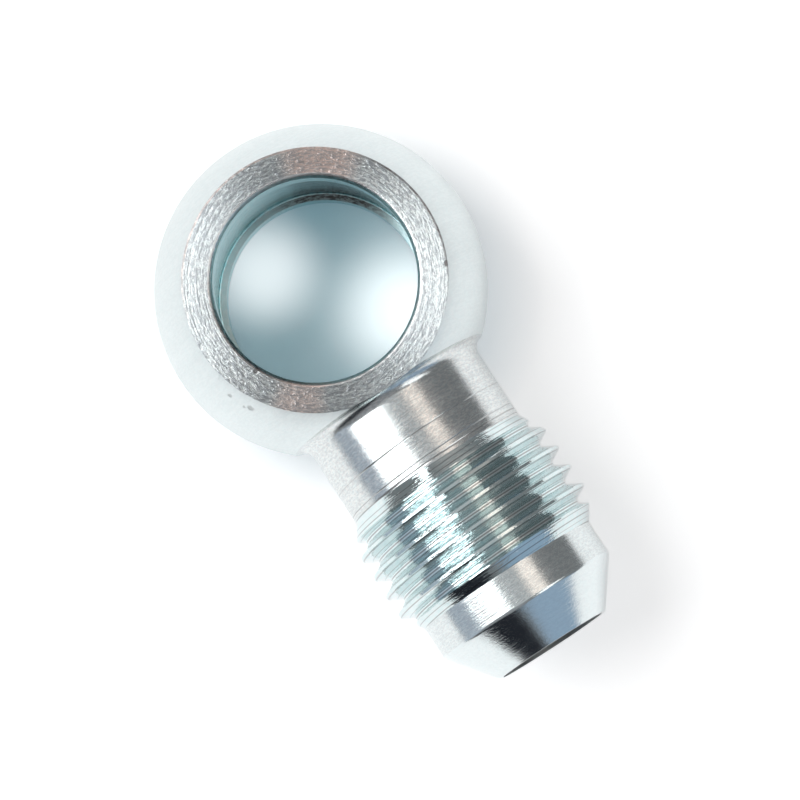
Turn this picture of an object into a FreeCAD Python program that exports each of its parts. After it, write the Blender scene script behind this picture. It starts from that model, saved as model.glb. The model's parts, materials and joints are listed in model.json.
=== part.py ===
import FreeCAD, Part
import math
import os

# Banjo fitting with a male 37 degree flare end, turned in one piece from steel bar.
# Units are millimetres. The origin is the middle of the banjo bore.
# The banjo bore runs along Z and the stem along +X, so the ball and the stem are turned about X.

# Eye: a ball with two flat seal faces
BALL_DIA = 21.0
EYE_THICKNESS = 13.0
BANJO_BORE_DIA = 12.7
BORE_MOUTH_CHAMFER = 0.3

# Oil groove round the inside of the banjo bore
OIL_GROOVE_DEPTH = 0.5
SEAL_LAND_LENGTH = 1.8

# Neck, and the hollow corner that the tool leaves against the ball
NECK_DIA = 12.3
NECK_LENGTH = 4.65
SHOULDER_CORNER_RADIUS = 0.9
SHOULDER_CORNER_INSET = 0.18

# Thread, 9/16-18 UNF class 2A, right-handed
THREAD_MAJOR_DIA = 14.25
THREAD_PITCH = 25.4 / 18
THREAD_LENGTH = 8.0
THREAD_BACK_CHAMFER_ANGLE = 28.0
THREAD_LEAD_CHAMFER_ANGLE = 33.0
THREAD_CLOCK_ANGLE = 233.0
THREAD_FLANK_ANGLE = 30.0
THREAD_DEPTH_IN_PITCHES = 0.6134
THREAD_CREST_FLAT_IN_PITCHES = 1 / 8

# Nose: a plain cylinder, the 37 degree flare seat and its blunted rim
NOSE_DIA = 12.25
NOSE_LENGTH = 2.28
FLARE_SEAT_ANGLE = 37.0
SEAT_SMALL_DIA = 8.2
RIM_BREAK_LENGTH = 0.2
RIM_BREAK_HEIGHT = 0.15
FLOW_BORE_DIA = 7.3

# How far a cutting shape runs past the surface that it cuts
CUT_OVERRUN = 1.0
THREAD_CUT_OVERRUN = 0.1

NODE_NAME = "banjo_body"

X_AXIS = FreeCAD.Vector(1, 0, 0)
Y_AXIS = FreeCAD.Vector(0, 1, 0)
Z_AXIS = FreeCAD.Vector(0, 0, 1)
ORIGIN = FreeCAD.Vector(0, 0, 0)


def slope_height(length, angle):
    """Height gained over a length of slope at an angle to the axis."""
    return length * math.tan(math.radians(angle))


def slope_length(height, angle):
    """Length of slope that gains a height at an angle to the axis."""
    return height / math.tan(math.radians(angle))


def in_profile(x, radius):
    """Point of the turned profile, at a place along the stem and a distance from its axis."""
    return FreeCAD.Vector(x, 0, radius)


def in_section(radius, z):
    """Point of the banjo bore's section, at a distance from the bore's axis and a height."""
    return FreeCAD.Vector(radius, 0, z)


def corner_centre():
    """Middle of the round that hollows out the corner between the ball and the neck.

    A round that only touched the ball would be tangent to it.
    This one goes in a little further, which leaves a fine crease round the ball.
    """
    reach = BALL_DIA / 2 + SHOULDER_CORNER_RADIUS
    height = NECK_DIA / 2 + SHOULDER_CORNER_RADIUS
    return in_profile(math.sqrt(reach**2 - height**2) - SHOULDER_CORNER_INSET, height)


def shoulder_radius():
    """Radius of the stem's root, which leaves the ball inside the bite of the hollow corner."""
    centre = corner_centre()
    return centre.z * BALL_DIA / 2 / centre.Length


def shoulder_corner_cut():
    """Ring that hollows out the corner, round towards the ball and flat where the neck starts."""
    centre = corner_centre()
    up = Z_AXIS * SHOULDER_CORNER_RADIUS
    back = X_AXIS * SHOULDER_CORNER_RADIUS
    arc = Part.Arc(centre - up, centre - back, centre + up).toShape()
    flat = Part.makeLine(centre + up, centre - up)
    return Part.Face(Part.Wire([arc, flat])).revolve(ORIGIN, X_AXIS, 360)


def stem_stations():
    """Places along the stem, each set off from the one before it."""
    neck_start = corner_centre().x
    thread_back = neck_start + NECK_LENGTH
    thread_front = thread_back + THREAD_LENGTH
    seat_start = thread_front + NOSE_LENGTH
    seat_end = seat_start + slope_length((NOSE_DIA - SEAT_SMALL_DIA) / 2, FLARE_SEAT_ANGLE)
    nose_end = seat_end + RIM_BREAK_LENGTH
    return neck_start, thread_back, thread_front, seat_start, seat_end, nose_end


def turned_stem():
    """Root inside the ball, neck, thread blank and nose, revolved about the stem's axis."""
    neck_start, thread_back, thread_front, seat_start, seat_end, nose_end = stem_stations()
    major_radius = THREAD_MAJOR_DIA / 2
    full_from = thread_back + slope_length(major_radius - NECK_DIA / 2, THREAD_BACK_CHAMFER_ANGLE)
    full_to = thread_front - slope_length(major_radius - NOSE_DIA / 2, THREAD_LEAD_CHAMFER_ANGLE)
    outline = Part.makePolygon([
        ORIGIN,
        in_profile(0, shoulder_radius()),
        in_profile(neck_start, shoulder_radius()),
        in_profile(neck_start, NECK_DIA / 2),
        in_profile(thread_back, NECK_DIA / 2),
        in_profile(full_from, major_radius),
        in_profile(full_to, major_radius),
        in_profile(thread_front, NOSE_DIA / 2),
        in_profile(seat_start, NOSE_DIA / 2),
        in_profile(seat_end, SEAT_SMALL_DIA / 2),
        in_profile(nose_end, SEAT_SMALL_DIA / 2 - RIM_BREAK_HEIGHT),
        in_profile(nose_end, 0),
        ORIGIN,
    ])
    return Part.Face(outline).revolve(ORIGIN, X_AXIS, 360)


def seal_face_cuts():
    """Two blocks that leave the flat seal faces on the ball and stop short of the thread."""
    length = BALL_DIA / 2 + CUT_OVERRUN + corner_centre().x
    width = BALL_DIA + 2 * CUT_OVERRUN
    height = (BALL_DIA - EYE_THICKNESS) / 2 + CUT_OVERRUN
    start = -BALL_DIA / 2 - CUT_OVERRUN
    above = Part.makeBox(length, width, height, FreeCAD.Vector(start, -width / 2, EYE_THICKNESS / 2))
    below = above.mirror(ORIGIN, Z_AXIS)
    return [above, below]


def banjo_bore_cut():
    """Banjo bore with its chamfered mouths and the oil groove between its two lands."""
    radius = BANJO_BORE_DIA / 2
    face = EYE_THICKNESS / 2
    land_top = face - BORE_MOUTH_CHAMFER
    groove_edge = face - SEAL_LAND_LENGTH
    groove_radius = radius + OIL_GROOVE_DEPTH
    past = face + CUT_OVERRUN
    mouth_radius = radius + BORE_MOUTH_CHAMFER + CUT_OVERRUN
    upper = [
        (0, past),
        (mouth_radius, past),
        (radius, land_top),
        (radius, groove_edge),
        (groove_radius, groove_edge),
    ]
    lower = [(distance, -height) for distance, height in reversed(upper)]
    section = [in_section(distance, height) for distance, height in upper + lower + upper[:1]]
    return Part.Face(Part.makePolygon(section)).revolve(ORIGIN, Z_AXIS, 360)


def flow_bore_cut():
    """Passage along the stem, from the banjo bore out through the nose."""
    nose_end = stem_stations()[-1]
    return Part.makeCylinder(FLOW_BORE_DIA / 2, nose_end + CUT_OVERRUN, ORIGIN, X_AXIS)


def thread_cut():
    """Helical groove of the thread, which runs out into the air over the neck and the nose."""
    _, thread_back, thread_front = stem_stations()[:3]
    start = thread_back - THREAD_PITCH
    height = thread_front + THREAD_PITCH - start
    major_radius = THREAD_MAJOR_DIA / 2
    depth = THREAD_DEPTH_IN_PITCHES * THREAD_PITCH
    root_radius = major_radius - depth
    outer_radius = major_radius + THREAD_CUT_OVERRUN
    half_at_major = THREAD_PITCH * (1 - THREAD_CREST_FLAT_IN_PITCHES) / 2
    half_at_root = half_at_major - slope_height(depth, THREAD_FLANK_ANGLE)
    half_outside = half_at_major + slope_height(THREAD_CUT_OVERRUN, THREAD_FLANK_ANGLE)
    groove = Part.makePolygon([
        in_section(root_radius, -half_at_root),
        in_section(outer_radius, -half_outside),
        in_section(outer_radius, half_outside),
        in_section(root_radius, half_at_root),
        in_section(root_radius, -half_at_root),
    ])
    helix = Part.makeLongHelix(THREAD_PITCH, height, root_radius, 0, False)
    cutter = Part.Wire(helix).makePipeShell([groove], True, True)
    cutter.rotate(ORIGIN, Z_AXIS, THREAD_CLOCK_ANGLE)
    cutter.rotate(ORIGIN, Y_AXIS, 90)
    cutter.translate(X_AXIS * start)
    return cutter


def banjo_body():
    """The whole fitting, which is one piece of steel."""
    blank = Part.makeSphere(BALL_DIA / 2).fuse(turned_stem().cut(thread_cut()))
    cuts = [shoulder_corner_cut(), *seal_face_cuts(), banjo_bore_cut(), flow_bore_cut()]
    return blank.cut(cuts)


def main():
    os.makedirs("parts", exist_ok=True)
    body = banjo_body()
    solids = body.Solids
    if len(solids) != 1 or not solids[0].isValid():
        raise RuntimeError(f"{NODE_NAME} should be one valid solid, and has {len(solids)}")
    solid = solids[0]
    solid.exportStep(f"parts/{NODE_NAME}.step")
    box = solid.optimalBoundingBox(False, False)
    print(f"{NODE_NAME}: {box.XLength:.2f} x {box.YLength:.2f} x {box.ZLength:.2f} mm,", end=" ")
    print(f"{solid.Volume / 1000:.3f} cm3, {len(solid.Faces)} faces")


main()
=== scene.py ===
"""A banjo fitting with a male flare end, turned from steel bar and plated with zinc.

The packed model gives the fitting's place and its main sizes. One closed mesh stands for it here:
a skin turned about the stem, a thread made by Geometry Nodes, and cuts for the bores and seal faces.
Lengths are metres. The bolt bore runs along Z and the stem along +X, as in the packed model.
"""

import json
import math
from typing import NamedTuple

import bmesh
import bpy
import numpy as np
from mathutils import Matrix, Vector


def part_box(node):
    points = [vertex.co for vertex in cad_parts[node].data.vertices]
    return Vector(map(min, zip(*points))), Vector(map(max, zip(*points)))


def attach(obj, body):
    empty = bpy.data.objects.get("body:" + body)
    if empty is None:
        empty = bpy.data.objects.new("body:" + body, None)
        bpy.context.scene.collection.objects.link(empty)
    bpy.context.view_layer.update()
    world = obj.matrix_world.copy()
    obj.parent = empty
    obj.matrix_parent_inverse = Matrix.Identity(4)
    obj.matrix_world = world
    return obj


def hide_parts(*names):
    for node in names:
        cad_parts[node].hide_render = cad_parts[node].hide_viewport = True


bl_info = {
    "name": "Banjo fitting",
    "version": (1, 0, 0),
    "blender": (4, 5, 0),
    "location": "View3D > Sidebar > Fitting",
    "description": "Builds a zinc-plated banjo fitting and the studio floor that it lies on",
    "category": "Object",
}

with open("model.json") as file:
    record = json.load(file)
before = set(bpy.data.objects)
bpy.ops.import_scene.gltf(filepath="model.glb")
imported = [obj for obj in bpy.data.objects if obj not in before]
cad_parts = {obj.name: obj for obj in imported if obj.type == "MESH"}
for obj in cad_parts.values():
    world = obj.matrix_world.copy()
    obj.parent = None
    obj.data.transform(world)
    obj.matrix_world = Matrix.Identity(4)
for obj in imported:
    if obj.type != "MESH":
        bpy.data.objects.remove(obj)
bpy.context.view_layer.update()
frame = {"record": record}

NODE = "banjo_body"
BODY = "root"
PIECE = "fitting_body"
MM = 0.001

THREAD_PITCH_MM = 25.4 / 18

# Points of the thread's joints and of cut edges that lie closer than this are one point
THREAD_JOINT = 2e-6
SAME_PLACE = 1e-7
# A profile point closer to its axis than this lies on it
ON_AXIS = 1e-9

# Rows in two small rounds of the outline
SEAT_EDGE_ROWS = 6
GROOVE_ROUND_ROWS = 8
# How far the seal cut runs past the face's edge, as a multiple of the worn edge's width
SEAL_CUT_REACH = 4
# Edges that turn more than this are shaded sharp
SHARP_EDGE = math.radians(18)
# Corners of the mesh whose normals are worked out at a time
NORMALS_AT_A_TIME = 20000
# The thread's lowest point is a quarter turn from its +Y side
LOWEST_TURN = 0.25

# Finishes in the order of the piece's material slots
FINISHES = ("ball", "neck", "nose", "seat", "thread", "faced", "edge", "bored", "ledge", "drilled")


def mount(name):
    """One mount of the packed record, by its name."""
    return next(m for m in frame["record"]["mounts"] if m["name"] == name)


NODE_LOW, NODE_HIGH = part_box(NODE)
BOLT_BORE = mount("banjo_bore")
FLOW_BORE = mount("flow_bore")
THREAD = mount("flare_thread")
EYE_HALF = mount("seal_face_top")["pos_m"][2]
THREAD_HALF_LENGTH = THREAD["dims"]["length_mm"] * MM / 2


def length(name, description, default):
    """A size in metres that a user may change."""
    return bpy.props.FloatProperty(
        name=name, description=description, default=default, min=0.0, precision=5, unit="LENGTH"
    )


def angle(name, description, degrees):
    """An angle that a user may change, given here in degrees."""
    return bpy.props.FloatProperty(
        name=name, description=description, default=math.radians(degrees), unit="ROTATION"
    )


def amount(name, description, default):
    """A share from 0 to 1 that a user may change."""
    return bpy.props.FloatProperty(
        name=name, description=description, default=default, min=0.0, max=1.0, subtype="FACTOR"
    )


def count(name, description, default):
    """A whole number that a user may change."""
    return bpy.props.IntProperty(name=name, description=description, default=default, min=1)


def watts(name, description, default):
    """A lamp's power that a user may change."""
    return bpy.props.FloatProperty(
        name=name, description=description, default=default, min=0.0, unit="POWER"
    )


def colour(name, description, default):
    """A colour that a user may change."""
    return bpy.props.FloatVectorProperty(
        name=name, description=description, default=default, size=3, min=0.0, max=1.0, subtype="COLOR"
    )


def light(name, description, default):
    """A colour of light, which may be brighter than white paper."""
    return bpy.props.FloatVectorProperty(
        name=name, description=description, default=default, size=3, min=0.0, subtype="COLOR"
    )


class EyeSizes(bpy.types.PropertyGroup):
    """Ball of the eye, its seal faces and the bolt bore."""

    ball_radius: length("Ball radius", "Radius of the ball", -NODE_LOW.x)
    half_thickness: length("Half thickness", "Height of a seal face above the middle", EYE_HALF)
    bore_radius: length("Bolt bore radius", "Radius of the lands", BOLT_BORE["dims"]["r_mm"] * MM)
    land_half_length: length(
        "Half length of the lands", "Height of a land's outer edge", BOLT_BORE["dims"]["length_mm"] * MM / 2
    )
    groove_edge: length("Oil groove edge", "Height of the oil groove's edge", 4.7 * MM)
    groove_depth: length("Oil groove depth", "Depth of the groove behind the lands", 0.5 * MM)
    groove_round: length("Oil groove round", "Length of the round in the groove's corners", 0.12 * MM)
    edge_break: length("Edge break", "Width of the worn edge round a seal face", 0.035 * MM)


class StemSizes(bpy.types.PropertyGroup):
    """Neck, nose and flare cone."""

    neck_radius: length("Neck radius", "Radius of the plain neck", 6.15 * MM)
    corner_radius: length("Corner radius", "Radius of the hollow corner at the ball", 0.9 * MM)
    corner_inset: length("Corner inset", "How far the corner bites into the ball", 0.18 * MM)
    nose_radius: length("Nose radius", "Radius of the plain nose", 6.125 * MM)
    nose_length: length("Nose length", "Length of the plain nose", 2.28 * MM)
    seat_angle: angle("Seat angle", "Slope of the flare cone to the stem", 37.0)
    seat_small_radius: length("Seat small radius", "Radius where the cone ends", 4.1 * MM)
    rim_height: length("Rim height", "Height of the blunted rim", 0.15 * MM)
    seat_edge: length("Seat edge", "Length of the rounded edge between nose and cone", 0.12 * MM)
    flow_radius: length("Flow bore radius", "Radius of the passage", FLOW_BORE["dims"]["r_mm"] * MM)


class ThreadSizes(bpy.types.PropertyGroup):
    """Thread, 18 to the inch, right-handed."""

    start: length("Start", "Place along the stem", THREAD["pos_m"][0] - THREAD_HALF_LENGTH)
    end: length("End", "Place along the stem", THREAD["pos_m"][0] + THREAD_HALF_LENGTH)
    major_radius: length("Major radius", "Radius of the crests", min(NODE_HIGH.z, -NODE_LOW.z))
    pitch: length("Pitch", "Distance from crest to crest", THREAD_PITCH_MM * MM)
    depth: amount("Depth in pitches", "Depth of the groove, as a share of the pitch", 0.6134)
    crest_flat: amount("Crest flat in pitches", "Width of the crest, as a share of the pitch", 1 / 8)
    flank_angle: angle("Flank angle", "Slope of each flank", 30.0)
    back_chamfer: angle("Back chamfer", "Slope of the chamfer at the neck", 28.0)
    lead_chamfer: angle("Lead chamfer", "Slope of the chamfer at the nose", 33.0)
    crest_place: length("Crest place", "Place of one crest's middle on the +Y side", 19.23 * MM)


class MeshDetail(bpy.types.PropertyGroup):
    """How fine the mesh is."""

    around: count("Steps round the stem", "Points in each ring", 240)
    ball_rows: count("Rows on the ball", "Rings from its far side to the neck", 110)
    corner_rows: count("Rows in the corner", "Rings in the hollow corner", 14)
    flank_rows: count("Rows on a flank", "Rows from the thread's root to its crest", 8)


class FinishColours(bpy.types.PropertyGroup):
    """Colours of the zinc plate, and of the painted light and shade on it."""

    zinc: colour("Zinc", "Pale blue-green of the bright zinc plate", (0.79, 0.845, 0.85))
    blush: colour("Blush", "Copper pink where the plate is thin", (0.86, 0.70, 0.63))
    teal: colour("Teal", "Blue-green where the plate is thick", (0.46, 0.72, 0.75))
    shade: colour("Shade", "Grey of the streaks between tool lines", (0.34, 0.37, 0.40))
    # Copper pink: painted reflections and a painted highlight on the seal face, and a tint on the bore's
    # chamfer
    copper: colour("Copper", "Copper stain on the seal face", (0.98, 0.80, 0.73))
    # Dark grey of pits, nicks and tool lines, and of painted shade
    pit: colour("Pit", "Dark grey of pits and nicks", (0.16, 0.15, 0.15))


class StageSizes(bpy.types.PropertyGroup):
    """Floor, lamps and camera."""

    floor_size: length("Floor size", "Side of the square floor", 1.6)
    floor_colour: colour("Floor colour", "Colour of the paper", (0.90, 0.90, 0.90))
    # Inside this radius the paper's even glow gives way to painted shade under the bolt bore
    shade_radius: length("Shade radius", "Part under the bolt bore where the paper adds less", 7.0 * MM)
    floor_glow: light("Floor glow", "Light that the open paper adds for the camera", (0.44, 0.44, 0.44))
    floor_gloss: amount("Floor gloss", "Share of that light that the metal mirrors", 0.74)
    # A dim bluish painted glow on the paper inside the bolt bore, standing in for light from its teal wall
    painted_bore_glow: light("Bore haze", "The same inside the bolt bore", (0.035, 0.095, 0.125))
    # Painted pools of light on that paper
    painted_pool_light: light("Bore light", "The same in the bright spots inside it", (0.59, 0.63, 0.65))
    room_colour: colour("Room", "Dim room round the lamps", (0.21, 0.215, 0.22))
    upper_side_colour: colour("Upper side", "Room past the top of the picture", (0.47, 0.44, 0.425))
    lower_side_colour: colour("Lower side", "Room past the bottom, higher up", (0.29, 0.295, 0.31))
    overhead_colour: colour("Overhead", "Room straight above", (0.50, 0.51, 0.52))
    warm_lamp_colour: light("Warm lamp", "Ceiling lamp past the top right", (1.38, 1.22, 1.12))
    dark_side_colour: colour("Dark side", "Room past the bottom of the picture", (0.018, 0.02, 0.026))
    slate_side_colour: colour("Slate side", "Room past the bottom right", (0.31, 0.41, 0.53))
    blue_side_colour: colour("Blue side", "Room past the bottom left", (0.46, 0.51, 0.58))
    key_across: angle("Key lamp angle", "Angle round the picture, from its right", 173.0)
    key_away: length("Key lamp distance", "Distance along the floor from the bolt bore", 0.19)
    key_rise: length("Key lamp rise", "Height of its middle", 0.365)
    key_width: length("Key lamp width", "Width of the softbox", 0.30)
    key_height: length("Key lamp height", "Height of the softbox", 0.47)
    key_power: watts("Key lamp power", "Power of the softbox", 1.84)
    fill_across: angle("Fill lamp angle", "Angle round the picture, from its right", -11.0)
    fill_away: length("Fill lamp distance", "Distance along the floor from the bolt bore", 0.40)
    fill_rise: length("Fill lamp rise", "Height of its middle", 0.44)
    fill_width: length("Fill lamp width", "Width of the softbox", 0.34)
    fill_height: length("Fill lamp height", "Height of the softbox", 0.35)
    fill_power: watts("Fill lamp power", "Power of the softbox", 0.50)
    camera_place: bpy.props.FloatVectorProperty(
        name="Camera place", description="Where the camera stands", size=3, unit="LENGTH",
        default=(38.1 * MM, -2.0 * MM, 306.0 * MM),
    )
    camera_aim: bpy.props.FloatVectorProperty(
        name="Camera aim", description="What the picture's middle shows", size=3, unit="LENGTH",
        default=(8.5 * MM, 0.4 * MM, 0.0),
    )
    stem_slope: angle("Stem slope", "How far the stem points down to the right in the picture", 57.0)
    lens: bpy.props.FloatProperty(
        name="Lens", description="Focal length of the camera", default=220.5, unit="CAMERA"
    )


def sizes(context, name):
    """One property group of the scene."""
    return getattr(context.scene, "fitting_" + name)


def corner_centre(eye, stem):
    """Middle of the hollow corner's round: place along the stem and height above its axis."""
    reach = eye.ball_radius + stem.corner_radius
    height = stem.neck_radius + stem.corner_radius
    return math.sqrt(reach**2 - height**2) - stem.corner_inset, height


def crease_point(eye, stem):
    """Where the ball ends and the hollow corner begins."""
    along, height = corner_centre(eye, stem)
    gap = math.hypot(along, height)
    inward = (eye.ball_radius**2 - stem.corner_radius**2 + gap**2) / (2 * gap)
    aside = math.sqrt(eye.ball_radius**2 - inward**2)
    return (
        (along * inward - height * aside) / gap,
        (height * inward + along * aside) / gap,
    )


def arc_span(centre, radius, first, last, rows, outward):
    """Span of an outline along an arc: points, and normals that point outward (1) or inward (-1)."""
    turns = [first + (last - first) * i / rows for i in range(rows + 1)]
    points = [(centre[0] + radius * math.cos(t), centre[1] + radius * math.sin(t)) for t in turns]
    normals = [(outward * math.cos(t), outward * math.sin(t)) for t in turns]
    return points, normals


def line_span(first, last):
    """Span of an outline along a straight line, whose normal is on its left-hand side."""
    along, up = last[0] - first[0], last[1] - first[1]
    run = math.hypot(along, up)
    normal = (-up / run, along / run)
    return [first, last], [normal, normal]


def soft_corner_span(before, corner, after, rows):
    """Span that rounds off a corner between two points on the lines that meet in it."""
    first_normal = line_span(before, corner)[1][0]
    last_normal = line_span(corner, after)[1][0]
    points, normals = [], []
    for i in range(rows + 1):
        t = i / rows
        shares = ((1 - t) ** 2, 2 * t * (1 - t), t**2)
        points.append(tuple(
            shares[0] * a + shares[1] * b + shares[2] * c
            for a, b, c in zip(before, corner, after)
        ))
        blend = Vector(first_normal).lerp(Vector(last_normal), t).normalized()
        normals.append((blend.x, blend.y))
    return points, normals


def back_spans(eye, stem, thread, detail):
    """Outline of the skin from the ball's far side to the thread's start."""
    centre = corner_centre(eye, stem)
    crease = crease_point(eye, stem)
    ball_end = math.atan2(crease[1], crease[0])
    corner_start = math.atan2(crease[1] - centre[1], crease[0] - centre[0]) % math.tau
    return [
        arc_span((0, 0), eye.ball_radius, math.pi, ball_end, detail.ball_rows, 1),
        arc_span(centre, stem.corner_radius, corner_start, 1.5 * math.pi, detail.corner_rows, -1),
        line_span((centre[0], stem.neck_radius), (thread.start, stem.neck_radius)),
    ]


def front_spans(stem, thread):
    """Outline of the skin from the thread's end to the middle of the nose's end face."""
    seat_start = thread.end + stem.nose_length
    slope = math.tan(stem.seat_angle)
    seat_end = seat_start + (stem.nose_radius - stem.seat_small_radius) / slope
    nose_end = NODE_HIGH.x
    rim_radius = stem.seat_small_radius - stem.rim_height
    before = (seat_start - stem.seat_edge, stem.nose_radius)
    after = (seat_start + stem.seat_edge, stem.nose_radius - stem.seat_edge * slope)
    return [
        line_span((thread.end, stem.nose_radius), before),
        soft_corner_span(before, (seat_start, stem.nose_radius), after, SEAT_EDGE_ROWS),
        line_span(after, (seat_end, stem.seat_small_radius)),
        line_span((seat_end, stem.seat_small_radius), (nose_end, rim_radius)),
        line_span((nose_end, rim_radius), (nose_end, 0)),
    ]


def bolt_bore_spans(eye):
    """Section of the bolt bore from its middle up: groove, land, chamfered mouth and overrun."""
    chamfer = eye.half_thickness - eye.land_half_length
    overrun = eye.half_thickness
    groove_radius = eye.bore_radius + eye.groove_depth
    mouth = (eye.half_thickness + overrun, eye.bore_radius + chamfer + overrun)
    land_top = (eye.land_half_length, eye.bore_radius)
    land_low = (eye.groove_edge, eye.bore_radius)
    ledge = (eye.groove_edge, groove_radius - eye.groove_round)
    corner = (eye.groove_edge, groove_radius)
    wall = (eye.groove_edge - eye.groove_round, groove_radius)
    face = (eye.half_thickness, eye.bore_radius + chamfer)
    middle = ((face[0] + land_top[0]) / 2, (face[1] + land_top[1]) / 2)
    upper = [
        line_span((mouth[0], 0), mouth),
        line_span(mouth, face),
        worn_span(face, middle, land_top),
        line_span(land_top, land_low),
        line_span(land_low, ledge),
        soft_corner_span(ledge, corner, wall, GROOVE_ROUND_ROWS),
    ]
    return upper + [line_span(wall, (-wall[0], wall[1]))] + flipped_back(upper)


def worn_span(first, middle, last):
    """Span along a small chamfer, whose normals turn from the seal face's to the bore's."""
    return [first, middle, last], [(1, 0), (math.sqrt(0.5), -math.sqrt(0.5)), (0, -1)]


def flipped_back(spans):
    """The same outline on the other side of the middle, run through from its end to its start."""
    return [
        ([(-a, r) for a, r in points[::-1]], [(-a, r) for a, r in normals[::-1]])
        for points, normals in spans[::-1]
    ]


def seal_cut_spans(eye):
    """Section of the cut that leaves a seal face and breaks its outer edge."""
    face_radius = math.sqrt(eye.ball_radius**2 - eye.half_thickness**2)
    fall = 0.5 * math.acos(eye.half_thickness / eye.ball_radius)
    inner = (eye.half_thickness, face_radius - eye.edge_break)
    out = eye.edge_break * SEAL_CUT_REACH
    outer = (eye.half_thickness - out * math.tan(fall), face_radius - eye.edge_break + out)
    top = 2 * eye.half_thickness
    corners = [(eye.half_thickness, 0), inner, outer, (top, outer[1]), (top, 0)]
    return [line_span(b, a) for a, b in zip(corners, corners[1:])]


def span_points(spans):
    """The outline's points in order, without the doubles where two spans meet."""
    points = [spans[0][0][0]]
    for span, _ in spans:
        points += [p for p in span if math.dist(p, points[-1]) > ON_AXIS]
    return points


def place_on_ring(along, radius, turn, axis):
    """Point on a ring about the X or Z axis. A ring about X starts at +Y, and one about Z at +X."""
    a, b = radius * math.cos(turn), radius * math.sin(turn)
    return (along, a, b) if axis == "X" else (a, b, along)


def revolve(mesh, points, steps, axis):
    """Adds the outline to a bmesh as rings about an axis. A point on the axis becomes one vertex."""
    rings = []
    for along, radius in points:
        turns = [0.0] if radius < ON_AXIS else [math.tau * i / steps for i in range(steps)]
        rings.append([mesh.verts.new(place_on_ring(along, radius, t, axis)) for t in turns])
    for ring, following in zip(rings, rings[1:]):
        for i in range(steps):
            corners = []
            for vert in (
                ring[i % len(ring)], ring[(i + 1) % len(ring)],
                following[(i + 1) % len(following)], following[i % len(following)],
            ):
                if vert not in corners:
                    corners.append(vert)
            mesh.faces.new(corners)


def mesh_object(name, built, *materials):
    """An object from a bmesh, with its faces turned outward and its materials."""
    bmesh.ops.recalc_face_normals(built, faces=built.faces)
    data = bpy.data.meshes.new(name)
    built.to_mesh(data)
    built.free()
    for material in materials:
        data.materials.append(material)
    data.shade_smooth()
    made = bpy.data.objects.new(name, data)
    bpy.context.scene.collection.objects.link(made)
    return made


def cutter(name, spans, steps, axis, materials, kinds=None, mirrored=False):
    """A closed solid of revolution that cuts the body. If mirrored, it is there turned over as well.

    kinds gives the place in the list of materials for some spans. The others take the first.
    """
    kinds = kinds or {}
    built = bmesh.new()
    for i, (points, _) in enumerate(spans):
        sides = (points, [(-along, radius) for along, radius in points]) if mirrored else (points,)
        for side in sides:
            done = len(built.faces)
            revolve(built, side, steps, axis)
            mark_faces(built, done, kinds.get(i, 0))
    bmesh.ops.remove_doubles(built, verts=built.verts, dist=SAME_PLACE)
    return mesh_object(name, built, *materials)


class Tree:
    """Short way to write a node tree: each call adds a node, links its inputs and gives its output."""

    def __init__(self, tree):
        self.tree = tree
        self.nodes = tree.nodes

    def fill(self, socket, value):
        """Links a socket to the input, or sets it to a plain value."""
        if isinstance(value, bpy.types.NodeSocket):
            self.tree.links.new(value, socket)
        elif value is not None:
            socket.default_value = value

    def add(self, kind, inputs=(), output=0, **settings):
        """Adds one node. Inputs are values in order, or a dict by socket name or place."""
        node = self.nodes.new(kind)
        for key, value in settings.items():
            setattr(node, key, value)
        pairs = inputs.items() if isinstance(inputs, dict) else enumerate(inputs)
        for key, value in pairs:
            self.fill(node.inputs[key], value)
        return node.outputs[output]

    def math(self, operation, *values):
        """A Math node."""
        return self.add("ShaderNodeMath", values, operation=operation)

    def plus(self, a, b):
        """The sum of two values."""
        return self.math("ADD", a, b)

    def minus(self, a, b):
        """The first value less the second."""
        return self.math("SUBTRACT", a, b)

    def times(self, a, b):
        """The product of two values."""
        return self.math("MULTIPLY", a, b)

    def over(self, a, b):
        """The first value divided by the second."""
        return self.math("DIVIDE", a, b)

    def clamp(self, value, low, high):
        """The value, kept between two others."""
        return self.math("MINIMUM", self.math("MAXIMUM", value, low), high)

    def measure(self, operation, *vectors):
        """A Vector Math node whose result is a number."""
        return self.add("ShaderNodeVectorMath", vectors, "Value", operation=operation)

    def ramp(self, value, low, high, to_low=0.0, to_high=1.0, kind="LINEAR"):
        """A value between two limits, taken to two others and kept between them."""
        return self.add(
            "ShaderNodeMapRange", [value, low, high, to_low, to_high], clamp=True, interpolation_type=kind
        )

    def mix_color(self, share, first, second):
        """A Mix node for colours, from the first to the second."""
        node = self.nodes.new("ShaderNodeMix")
        node.data_type = "RGBA"
        for key, value in (("Factor_Float", share), ("A_Color", first), ("B_Color", second)):
            self.fill(next(s for s in node.inputs if s.identifier == key), value)
        return next(s for s in node.outputs if s.identifier == "Result_Color")

    def group(self, tree, inputs):
        """A group node, and its outputs by name."""
        node = self.nodes.new("ShaderNodeGroup")
        node.node_tree = tree
        for key, value in inputs.items():
            self.fill(node.inputs[key], value)
        return node.outputs


THREAD_NUMBERS = (
    "Start", "End", "Major Radius", "Root Radius", "Back Radius", "Front Radius", "Back Slope",
    "Lead Slope", "Pitch", "Crest Share", "Root Share", "First Crest",
)
THREAD_COUNTS = ("Turns", "Around", "Flank Rows")
THREAD_INPUTS = {
    **dict.fromkeys(THREAD_NUMBERS, "NodeSocketFloat"),
    **dict.fromkeys(THREAD_COUNTS, "NodeSocketInt"),
    "Material": "NodeSocketMaterial",
}


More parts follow.
